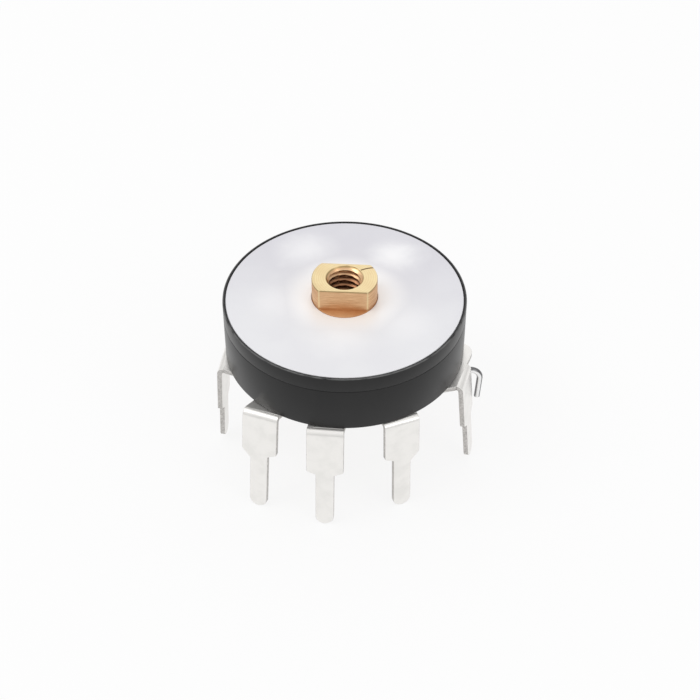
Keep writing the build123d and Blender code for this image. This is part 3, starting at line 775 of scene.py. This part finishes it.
@dataclass
class Case:
    """The black case in two mouldings, and its cover plate."""

    levels: Heights
    radius: float = 8.0
    wall: float = 0.8
    pocket_wall: float = 0.47
    wafer_thickness: float = 0.8
    rim_width: float = 0.17
    rim_rounding: float = 0.07
    lip_break: float = 0.04
    seam_break: float = 0.05
    edge_break: float = 0.03
    corner_break: float = 0.02
    foot_rounding: float = 0.10
    web: float = 0.7
    bearing: float = 2.2
    plate_fit: float = 0.03
    plate_bore: float = 2.17
    plate_rounding: float = 0.06
    spigot_depth: float = 0.3
    spigot_width: float = 0.6
    spigot_fit: float = 0.03
    stop: tuple[float, float] = (4.4, 5.8)
    stop_half_angle: float = 15.0

    def build(self) -> None:
        """Build and dress the three pieces."""
        self._lower()
        self._upper()
        self._plate()

    def _lower(self) -> None:
        """Ring wall with a pocket for the wafer; both outer edges are broken."""
        floor, seam = self.levels.case_floor, self.levels.seam
        ledge = floor + self.wafer_thickness
        pocket, inside = self.radius - self.pocket_wall, self.radius - self.wall
        corners = [(pocket, floor), (self.radius, floor), (self.radius, seam), (inside, seam),
                   (inside, ledge), (pocket, ledge)]
        edge, corner = self.edge_break, self.corner_break
        rounding = [edge, self.foot_rounding, self.seam_break, edge, corner, corner]
        piece = turned_block(corners, rounding).to_object("lower_case_moulding")
        place_piece(piece, BLACK, "case", Slot.CASE, "lower_case")

    def _upper(self) -> None:
        """Rim, web with the bearing hole, locating spigot and the stop for the rotor's lug."""
        seam, rim, recess = self.levels.seam, self.levels.rim, self.levels.recess
        web = recess - self.web
        inside = self.radius - self.wall - self.spigot_fit
        bore, lip = inside - self.spigot_width, self.radius - self.rim_width
        low = seam - self.spigot_depth
        corners = [(self.bearing, web), (bore, web), (bore, low), (inside, low), (inside, seam),
                   (self.radius, seam), (self.radius, rim), (lip, rim), (lip, recess), (self.bearing, recess)]
        edge, corner, half = self.edge_break, self.corner_break, self.stop_half_angle
        rounding = [edge, edge, edge, edge, corner, self.seam_break, self.rim_rounding, self.lip_break,
                    corner, edge]
        shells = [turned_block(corners, rounding),
                  sector_block(*self.stop, (-half, half), (low, web))]
        piece = Shell.joined(shells).to_object("upper_case_moulding")
        place_piece(piece, BLACK, "case", Slot.CASE, "upper_case")

    def _plate(self) -> None:
        """Cover plate: a disc with rounded edges and a clearance hole for the boss."""
        outer = self.radius - self.rim_width - self.plate_fit
        low, high = self.levels.recess, self.levels.plate_top
        corners = [(self.plate_bore, low), (outer, low), (outer, high), (self.plate_bore, high)]
        edge = self.edge_break
        disc = turned_block(corners, [edge, edge, self.plate_rounding, self.seam_break], 256)
        piece = disc.to_object("cover_plate_disc")
        place_piece(piece, PLATE, "case", Slot.PLATE, "cover_plate")


@dataclass
class Shaft:
    """Brass shaft: double-D boss with a tapped hole, journal, flange, drive, tail and headed-over end."""

    levels: Heights
    radius: float = 2.15
    across_flats: float = 2.85
    turn: float = 3.5
    edge: float = 0.06
    edge_steps: tuple[tuple[float, float], ...] = ((0.0, 1.0), (0.12, 0.5), (0.4, 0.15), (1.0, 0.0))
    corner_sharpness: float = 26.0
    shoulder_rounding: float = 0.04
    boss_relief: float = 0.012
    drive_low: float = 1.62
    flange_low: float = 2.64
    flange_high: float = 2.89
    flange_radius: float = 2.9
    tail_radius: float = 1.4
    neck_radius: float = 1.1
    retainer_top: float = -0.06
    retainer_low: float = -0.38
    head_radius: float = 1.5
    head_low: float = -0.60
    head_rounding: float = 0.12
    pitch: float = 0.45
    minor_radius: float = 1.025
    major_radius: float = 1.25
    mouth_radius: float = 1.24
    hole_depth: float = 4.0
    threaded_share: float = 0.86
    flank_slope: float = 2.9
    crest_width: float = 0.38
    step: float = 0.001
    rows_a_turn: int = 14
    segments: int = 384
    retainer: tuple[float, float] = (1.12, 2.4)
    retainer_rounding: tuple[float, ...] = (0.03, 0.1, 0.03, 0.03)
    plain_end: float = 0.5
    point_height: float = 0.15
    point_radius: float = 0.1

    def _angles(self) -> Array:
        """Ring angles, evenly spaced."""
        return np.linspace(0, 2 * math.pi, self.segments, endpoint=False)

    def _double_d(self, radius: float, across: float) -> Array:
        """Radius of a double-D at each angle.

        It is the soft minimum of the round radius and of half the width over the size of the cosine of the
        angle from the flats' normal; the softness rounds the corner where they meet.
        """
        swing = self._angles() - math.radians(self.turn)
        flat = (across / 2) / np.maximum(np.abs(np.cos(swing)), 1e-3)
        k = self.corner_sharpness
        return -np.log(np.exp(-k * radius) + np.exp(-k * np.minimum(flat, radius + 1))) / k

    def _round(self, radius: float) -> Array:
        """A round ring's radius at each angle."""
        return np.full(self.segments, radius)

    def _outside(self) -> list[tuple[Array, float]]:
        """Rings of (radius at each angle, height) from the headed-over end up to the top face."""
        floor, top, plate = self.levels.case_floor, self.levels.boss_top, self.levels.plate_top
        end, step, full, flats = floor + self.head_low, self.step, self.radius, self.across_flats
        head, curl = self.head_radius, self.head_rounding
        rings = [(self._round(head * 0.55), end), (self._round(head - curl), end + curl / 6),
                 (self._round(head - curl / 4), end + curl * 7 / 12), (self._round(head), end + curl)]
        for radius, low, high in ((head, end + curl, floor + self.retainer_low),
                                  (self.neck_radius, floor + self.retainer_low, floor + self.retainer_top),
                                  (self.tail_radius, floor + self.retainer_top, floor + self.drive_low)):
            rings += [(self._round(radius), low + step), (self._round(radius), high - step)]
        drive, flange = self._double_d(full, flats), self._round(self.flange_radius)
        rings += [(drive, floor + self.drive_low), (drive, floor + self.flange_low - step),
                  (flange, floor + self.flange_low), (flange, floor + self.flange_high)]
        s = self.shoulder_rounding
        rings += [(self._round(full), floor + self.flange_high + step), (self._round(full), plate - s),
                  (self._round(full - s * 0.3), plate - s * 0.3), (self._round(full - s), plate)]
        foot = self._double_d(full - self.boss_relief, flats)
        rings += [(np.minimum(foot, full - s - 2 * step), plate + step), (foot, plate + 0.03),
                  (self._double_d(full, flats), plate + 0.06)]
        return rings + [(self._double_d(full - self.edge * inward, flats - 2 * self.edge * inward),
                         top - self.edge * drop) for inward, drop in self.edge_steps]

    def _bore(self) -> tuple[Array, Array]:
        """Radius and height of the tapped hole's rings, from the mouth down.

        The thread's phase is depth over pitch plus the share of a turn, so that it climbs to the right. The
        radius goes from the minor to the major one along a V with a flat crest and a narrow root, and both
        are kept inside the countersink at the mouth.
        """
        top = self.levels.boss_top
        threaded = self.hole_depth * self.threaded_share
        rows = int(threaded / self.pitch * self.rows_a_turn)
        depth = np.linspace(0.02, threaded, rows)[:, None]
        phase = (depth / self.pitch + self._angles()[None, :] / (2 * math.pi)) % 1.0
        groove = np.clip((0.5 - np.abs(phase - 0.5)) * self.flank_slope - self.crest_width, 0, 1)
        radius = self.minor_radius + (self.major_radius - self.minor_radius) * groove
        countersink = np.maximum(self.mouth_radius - depth, 0)
        return np.maximum(radius, countersink), top - depth + 0 * phase

    def build(self) -> None:
        """Build the shaft and its retaining washer."""
        outside = self._outside()
        radii = np.array([r for r, _ in outside])
        heights = np.repeat(np.array([h for _, h in outside])[:, None], self.segments, axis=1)
        top = self.levels.boss_top
        face = np.linspace(0.2, 1.0, 5)[:, None]
        face_radii = radii[-1][None] * (1 - face) + self.mouth_radius * face
        face_heights = np.full_like(face_radii, top)
        bore_radii, bore_heights = self._bore()
        bottom = top - self.hole_depth
        drill = self._round(self.minor_radius)
        end_radii = np.stack([drill, drill, self._round(self.point_radius)])
        lifts = (self.plain_end, self.point_height, 0.0)
        end_heights = np.stack([self._round(bottom + lift) for lift in lifts])
        radius = np.vstack([radii, face_radii, bore_radii, end_radii])
        height = np.vstack([heights, face_heights, bore_heights, end_heights])
        rings = around(radius, self._angles()[None, :], height)
        piece = lattice(rings).to_object("shaft_boss", sharp=28.0)
        place_piece(piece, BRASS, "rotor", Slot.BRASS, "shaft")
        self._washer()

    def _washer(self) -> None:
        """Retaining washer between the wafer and the headed-over end."""
        low, high = (corner.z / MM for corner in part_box("retaining_washer"))
        inner, outer = self.retainer
        corners = [(inner, low), (outer, low), (outer, high), (inner, high)]
        piece = turned_block(corners, self.retainer_rounding, 96).to_object("retaining_washer_disc")
        place_piece(piece, STEEL, "rotor", Slot.STEEL, "retaining_washer")


@dataclass(frozen=True)
class Leg:
    """Where one leg stands and how it was bent and cut."""

    number: int
    azimuth: float
    stand_off: float
    facing: float
    lean: float
    eyelet_azimuth: float
    wide_length: float
    left_slope: float
    right_slope: float
    clamped: float = 0.0
    rear: int = 0


@dataclass
class Legs:
    """Five tinned legs with their eyelets."""

    levels: Heights
    wall_radius: float = 8.0
    thickness: float = 0.35
    width: float = 2.4
    pin_width: float = 1.2
    length: float = 7.5
    bend: float = 0.3
    tip_rounding: float = 0.56
    tip_start: float = 0.48
    pin_start: float = 0.85
    pin_shoulder_rounding: float = 0.10
    shoulder_rounding: float = 0.12
    edge: float = 0.035
    pad_radius: float = 1.1
    side_length: float = 7.1
    tail: float = 1.9
    tail_rounding: float = 0.9
    tail_setback: float = 0.2
    eyelet_circle: float = 6.2
    eyelet_head: float = 0.7
    eyelet_bore: float = 0.3
    eyelet_shank: float = 0.5
    eyelet_head_thickness: float = 0.2
    eyelet_rounding: tuple[float, ...] = (0.08, 0.12, 0.02, 0.02, 0.02, 0.02, 0.10, 0.05)
    legs: tuple[Leg, ...] = (
        Leg(1, -74.5, 0.40, -91.5, 2.5, -62.0, 3.68, 0.30, 0.40, 0.15, rear=-1),
        Leg(2, -31.7, 0.72, -13.5, 8.0, -32.0, 3.00, 0.65, 0.30, 0.05),
        Leg(3, -1.4, 0.46, 1.5, 8.0, 0.0, 3.25, 0.22, 0.22, 0.15),
        Leg(4, 33.7, 0.26, 28.5, 2.5, 32.0, 3.00, 0.30, 0.70, 0.05),
        Leg(5, 75.9, 0.66, 81.0, 5.0, 62.0, 3.55, 0.40, 0.30, rear=1),
    )

    def build(self) -> None:
        """Build the legs and the eyelets."""
        for leg in self.legs:
            shells = [self._blade(leg), self._strap(leg)]
            piece = Shell.joined(shells).to_object(f"leg_{leg.number}", TIN.edge_attribute)
            place_piece(piece, TIN, "case", Slot.TINNED, f"terminal_{leg.number}")
        self._eyelets()

    def _frame_of(self, leg: Leg) -> tuple[Array, Array, Array]:
        """The bend's corner, the way the leg faces and the way across it, all in plan."""
        out = polar(1.0, leg.facing)
        across = np.array([-out[1], out[0]])
        corner = polar(self.wall_radius + leg.stand_off, leg.azimuth) - out * self.thickness / 2
        return corner, out, across

    def _bend_reach(self, leg: Leg) -> float:
        """How far before its corner the bend starts."""
        return self.bend * math.tan((math.pi / 2 - math.radians(leg.lean)) / 2)

    def _ends(self, leg: Leg) -> tuple[float, float]:
        """Drops of the tip and of the end of the wide part."""
        length = self.side_length if leg.rear else self.length
        return length - self.thickness / 2, leg.wide_length - self.thickness / 2

    def _half_widths(self, leg: Leg, side: int, drop: Array) -> Array:
        """Half width on one side at each drop below the strap's middle.

        It follows the cut line: down the wide part, in along the sloped shoulder, down the pin, and round
        the corner of the tip.
        """
        slope = leg.left_slope if side < 0 else leg.right_slope
        end, wide = self._ends(leg)
        half, pin = self.width / 2, self.pin_width / 2
        corners = np.array([(half, -1.0), (half, wide), (pin, wide + slope), (pin, end), (0.0, end)])
        radii = np.array([0.0, self.shoulder_rounding, self.pin_shoulder_rounding,
                          self.tip_rounding, 0.0])
        line = rounded(corners, radii, 8, closed=False)[:-1]
        return np.interp(drop, line[:, 1], line[:, 0])

    def _drops(self, leg: Leg) -> Array:
        """Drops at which the blade has a section: closer together at the shoulders and the tip."""
        end, wide = self._ends(leg)
        start, pin = self.bend + 0.02, self.pin_start
        tip = end - self.tip_start * np.cos(np.linspace(0, math.pi / 2, 12))
        return np.concatenate([np.linspace(start, wide - 0.15, 8), np.linspace(wide - 0.13, wide + pin, 34),
                               np.linspace(wide + pin + 0.05, end - self.tip_start - 0.02, 8), tip])

    def _blade(self, leg: Leg) -> Shell:
        """The bend and the leg below it, as sections of the strip carried along its middle line.

        In the plane of the way it faces, the middle line is a quarter turn of the bend's radius, less the
        lean, and then the leaning straight. A section is a rounded rectangle.
        """
        corner, out, across = self._frame_of(leg)
        lean = math.radians(leg.lean)
        reach = self._bend_reach(leg)
        turn = np.linspace(0, math.pi / 2 - lean, 10)
        arc = np.column_stack([-reach + self.bend * np.sin(turn), -self.bend * (1 - np.cos(turn))])
        arc_normal = np.column_stack([np.sin(turn), np.cos(turn)])
        drop = self._drops(leg)
        straight = np.column_stack([drop * math.tan(lean), -drop])
        straight_normal = np.tile([math.cos(lean), math.sin(lean)], (len(drop), 1))
        line = np.vstack([arc, straight])
        normal = np.vstack([arc_normal, straight_normal])
        left = self._half_widths(leg, -1, -line[:, 1])
        right = self._half_widths(leg, 1, -line[:, 1])
        span, lift, weight = self._section(left, right)
        outward = line[:, 0:1] + lift * normal[:, 0:1]
        height = line[:, 1:2] + lift * normal[:, 1:2]
        strap_middle = self.levels.case_floor - self.thickness / 2
        height = np.maximum(height, -self._ends(leg)[0])
        x = corner[0] + outward * out[0] + span * across[0]
        y = corner[1] + outward * out[1] + span * across[1]
        return lattice(np.stack([x, y, strap_middle + height], axis=-1), weight=weight)

    def _section(self, left: Array, right: Array) -> tuple[Array, Array, Array]:
        """Section of the strip at each place along it.

        Args:
            left: half width to the left at each place.
            right: half width to the right at each place.

        Returns:
            Distances across and through the strip, and a weight that is one on the sheared edges.
        """
        half, e = self.thickness / 2, self.edge
        share = np.linspace(0, 1, 6)
        side = np.array([(-1, -half), (-1, -half + e), (-1, half - e), (-1, half)])
        across_sign = np.concatenate([side[:, 0], -1 + 2 * share[1:-1], -side[::-1, 0], 1 - 2 * share[1:-1]])
        through = np.concatenate([side[:, 1], np.full(4, half), side[::-1, 1], np.full(4, -half)])
        inset = np.concatenate([[e, 0, 0, e], np.zeros(4), [-e, 0, 0, -e], np.zeros(4)])
        sheared = np.concatenate([[0, 1, 1, 0], np.zeros(4), [0, 1, 1, 0], np.zeros(4)])
        width = np.where(across_sign[None] < 0, left[:, None], right[:, None])
        span = across_sign[None] * width + inset[None]
        return span, np.repeat(through[None], len(left), 0), np.repeat(sheared[None], len(left), 0)

    def _strap(self, leg: Leg) -> Shell:
        """The flat part under the case: the hull of the eyelet's pad, the bend's line and the rear lobe."""
        corner, out, across = self._frame_of(leg)
        start = -self._bend_reach(leg)
        ring = np.linspace(0, 2 * math.pi, 72, endpoint=False)
        circle = np.column_stack([np.cos(ring), np.sin(ring)])
        eyelet = polar(self.eyelet_circle, leg.eyelet_azimuth)
        groups = [eyelet + circle * self.pad_radius,
                  corner + start * out + np.outer([-self.width / 2, self.width / 2], across)]
        if leg.rear:
            reach = self.width / 2 + self.tail - self.tail_rounding
            inward = self.tail_rounding - self.thickness / 2 + self.tail_setback
            lobe = corner + leg.rear * across * reach - out * inward
            groups.append(lobe + circle * self.tail_rounding)
        outline = convex_hull(np.vstack(groups))
        floor = self.levels.case_floor
        return bored_slab(resampled(outline, 128), eyelet, self.eyelet_shank, floor - self.thickness, floor)

    def _eyelets(self) -> None:
        """Five hollow rivets, each a turned section moved to its place."""
        floor = self.levels.case_floor
        low, top = floor - self.thickness, self.levels.track_floor
        head, bore, shank = self.eyelet_head, self.eyelet_bore, self.eyelet_shank
        thick, rounding = self.eyelet_head_thickness, self.eyelet_rounding
        shells = []
        for leg in self.legs:
            upper = top + leg.clamped
            corners = [(bore, low - thick), (head, low - thick), (head, low), (shank, low), (shank, upper),
                       (head, upper), (head, upper + thick), (bore, upper + thick)]
            shell = turned_block(corners, rounding, 48)
            x, y = polar(self.eyelet_circle, leg.eyelet_azimuth)
            shell.points = shell.points + np.array([x, y, 0.0])
            shells.append(shell)
        piece = Shell.joined(shells).to_object("eyelets")
        place_piece(piece, EYELET, "case", Slot.EYELET, "terminal_eyelets")


def convex_hull(points: Array) -> Array:
    """Corners of the convex hull in order, by sweeping the sorted points below and above."""
    order = points[np.lexsort((points[:, 1], points[:, 0]))]

    def chain(run: Array) -> list[Array]:
        """Keep only left turns along a run of points."""
        kept: list[Array] = []
        for point in run:
            while len(kept) > 1 and np.cross(kept[-1] - kept[-2], point - kept[-1]) <= 1e-9:
                kept.pop()
            kept.append(point)
        return kept[:-1]

    return np.array(chain(order) + chain(order[::-1]))


def resampled(outline: Array, count: int) -> Array:
    """A closed outline at evenly spaced distances along it."""
    closed = np.vstack([outline, outline[:1]])
    distance = np.concatenate([[0], np.cumsum(np.linalg.norm(np.diff(closed, axis=0), axis=1))])
    at = np.linspace(0, distance[-1], count, endpoint=False)
    return np.column_stack([np.interp(at, distance, closed[:, i]) for i in range(2)])


@dataclass
class SwitchWire:
    """Spring wire: the switch arm's post, bent out under the strap and hooked down beside leg 5."""

    levels: Heights
    post: tuple[float, float] = (6.4453, -0.7678)
    heading: float = 97.0
    radius: float = 0.2
    post_top: float = 1.72
    drop: float = 0.9
    elbow: float = 0.35
    reach: float = 2.82
    hook_radius: float = 0.66
    end_depth: float = 3.35
    draw_in: float = 0.14

    def build(self) -> None:
        """Build the wire along its bent path."""
        corners = np.array([(0, self.post_top), (0, -self.drop), (self.reach, -self.drop),
                            (self.reach - self.draw_in, -self.end_depth)])
        line = rounded(corners, np.array([0, self.elbow, self.hook_radius, 0]), 16, closed=False)
        out = polar(1.0, self.heading)
        x, y = (self.post[i] + line[:, 0] * out[i] for i in range(2))
        path = np.column_stack([x, y, self.levels.case_floor + line[:, 1]])
        across = np.array([-out[1], out[0], 0.0])
        piece = tube(path, across, self.radius, 28).to_object("switch_wire_hook", WIRE.side_attribute)
        place_piece(piece, WIRE, "case", Slot.WIRE, "switch_wire")


@dataclass
class InnerParts:
    """Parts inside the case, which keep their own shapes and are only dressed."""

    finishes: dict[str, Finish] = field(default_factory=lambda: {
        "collector_ring": SILVER, "switch_bus": SILVER, "fixed_contact": SILVER, "arm_contact": SILVER,
        "switch_arm": BRONZE, "wiper": BRONZE, "rotor": ROTOR, "fibre_washer": FIBRE,
        "spring_washer": STEEL, "resistor_wafer": PHENOLIC,
    })

    def build(self) -> None:
        """Dress each part that is kept."""
        for node, finish in self.finishes.items():
            finish.dress(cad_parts[node])
            LOG.info("%s: kept, in %s", node, finish.name)


@dataclass(frozen=True)
class Lamp:
    """A round soft lamp: where it stands, its width and its power."""

    name: str
    place: tuple[float, float, float]
    size: float
    power: float

    def build(self, target: Vector) -> None:
        """Hang the lamp and aim it at a point."""
        data = bpy.data.lights.new(self.name, "AREA")
        data.shape = "DISK"
        data.size, data.energy = self.size, self.power
        lamp = linked(self.name, data)
        lamp.location = self.place
        lamp.rotation_euler = (target - Vector(self.place)).to_track_quat("-Z", "Y").to_euler()


@dataclass
class Studio:
    """Floor, world, lamps and camera."""

    levels: Heights
    azimuth: float = 7.0
    elevation: float = 42.4
    distance: float = 100.0
    aside: float = 0.350
    below: float = 0.388
    lens: float = 76.26
    floor_size: float = 4.0
    lamps: tuple[Lamp, ...] = (
        Lamp("key", (-0.16, -0.05, 0.24), 0.16, 0.13),
        Lamp("fill", (0.20, -0.12, 0.16), 0.14, 0.06),
        Lamp("back", (0.02, 0.22, 0.14), 0.18, 0.02),
    )

    def build(self) -> None:
        """Set the stage."""
        self._floor()
        self._world()
        for lamp in self.lamps:
            lamp.build(Vector((0, 0, 0.004)))
        self._camera()
        bpy.context.scene.view_settings.view_transform = "Standard"

    def _floor(self) -> None:
        """A wide pale floor under the pins' tips, white to the camera, softly shaded and clear from below."""
        half = self.floor_size / 2
        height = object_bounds()[0].z
        mesh = bpy.data.meshes.new("floor")
        mesh.from_pydata([(-half, -half, height), (half, -half, height), (half, half, height),
                          (-half, half, height)], [], [(0, 1, 2, 3)])
        floor = linked("floor", mesh)
        material = bpy.data.materials.new("pale_floor")
        material.use_nodes = True
        tree = Tree(material.node_tree)
        seen = tree.ray("Camera").larger(tree.ray("Glossy")).larger(tree.ray("Transmission"))
        matte = tree.shader(Base_Color=(0.92, 0.92, 0.92), Roughness=0.9)
        glow = tree.node("ShaderNodeEmission", None, {"Color": (1, 1, 1, 1), "Strength": 0.985})
        pale = tree.node("ShaderNodeMixShader", None, {0: seen * 0.86, 1: matte, 2: glow})
        below = tree.node("ShaderNodeNewGeometry", output="Backfacing")
        clear_side = tree.node("ShaderNodeBsdfTransparent")
        tree.finish(tree.node("ShaderNodeMixShader", None, {0: below, 1: pale, 2: clear_side}))
        mesh.materials.append(material)
        floor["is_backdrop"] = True

    def _world(self) -> None:
        """White surroundings: plain white to the camera, a little softer towards the horizon for light."""
        world = bpy.data.worlds.new("white_tent")
        bpy.context.scene.world = world
        world.use_nodes = True
        tree = Tree(world.node_tree)
        seen = tree.ray("Camera")
        up = tree.axes(tree.node("ShaderNodeTexCoord", output="Generated"))[2] * MM
        level = up.ramp(-0.1, 0.9, 0.62, 0.98)
        strength = level + seen * (1 - level)
        background = tree.node("ShaderNodeBackground", None, {"Color": (1, 1, 1, 1), "Strength": strength})
        tree.node("ShaderNodeOutputWorld", None, {"Surface": background})

    def _camera(self) -> None:
        """Camera at the viewing angle, aimed a little to one side of the case's underside."""
        a, e = math.radians(self.azimuth), math.radians(self.elevation)
        back = Vector((math.sin(a) * math.cos(e), -math.cos(a) * math.cos(e), math.sin(e)))
        right = Vector((math.cos(a), math.sin(a), 0))
        up = back.cross(right)
        base = Vector((0, 0, self.levels.case_floor))
        data = bpy.data.cameras.new("camera")
        data.lens = self.lens
        data.sensor_width = 36.0
        data.clip_start, data.clip_end = 0.01, 20.0
        camera = linked("camera", data)
        camera.location = (base + back * self.distance + right * self.aside - up * self.below) * MM
        camera.rotation_mode = "QUATERNION"
        camera.rotation_quaternion = (-back).to_track_quat("-Z", "Y")
        bpy.context.scene.camera = camera


def main() -> None:
    """Build the potentiometer and its stage."""
    logging.basicConfig(level=logging.INFO, format="%(name)s %(message)s")
    levels = Heights.from_frame()
    Studio(levels).build()
    for assembly in (Case(levels), Shaft(levels), Legs(levels), SwitchWire(levels), InnerParts()):
        assembly.build()


if __name__ == "__main__":
    main()
